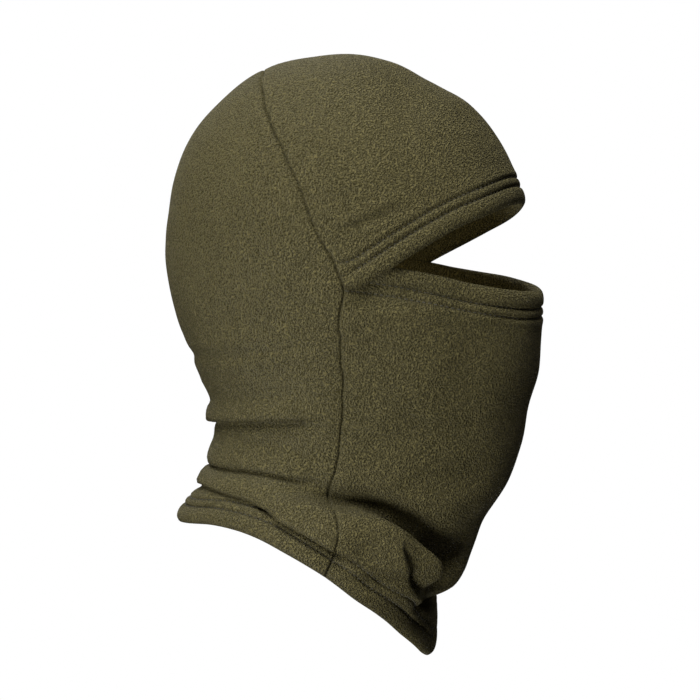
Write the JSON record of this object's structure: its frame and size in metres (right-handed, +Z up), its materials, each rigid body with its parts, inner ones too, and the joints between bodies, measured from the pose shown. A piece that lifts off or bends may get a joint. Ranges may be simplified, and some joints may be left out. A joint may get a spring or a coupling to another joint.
{
  "type": "balaclava",
  "caption": "Fleece balaclava as worn: crown, back and face panels, doubled hems at brow, nose and neck, and a face cover that pulls down about the temples.",
  "frame": {"origin": "midway between the two points beside the ears where the crown, back and face panels meet, which is about the middle of the head between the ear canals", "axes": "+X to the wearer's left, -Y to the front of the face, +Z up"},
  "size_m": [0.174, 0.2238, 0.3522],
  "materials": {
    "fleece": "brushed nap, olive",
    "hem_fleece": "brushed nap, olive, doubled and stitched",
    "thread": "spun polyester thread, tone on tone",
    "overlock": "overlocked cloth edge",
    "label": "woven satin, blank"
  },
  "bodies": {
    "hood": {"crown_panel": "fleece", "back_panel": "fleece", "face_panel": "fleece", "brow_hem": "hem_fleece", "neck_hem": "hem_fleece", "brow_hem_stitching": "thread", "neck_hem_stitching": "thread", "crown_seam_overlock": "overlock", "side_seam_overlock_left": "overlock", "side_seam_overlock_right": "overlock", "care_label": "label"},
    "face_cover": {"face_hem": "hem_fleece", "face_hem_stitching": "thread"}
  },
  "joints": [
    {"name": "face_cover_pull_down", "type": "hinge", "parent": "hood", "child": "face_cover", "pos_m": [0, 0.002, 0.008], "axis": [1, 0, 0], "range_deg": [0, 28], "deforming": ["face_panel"]}
  ]
}
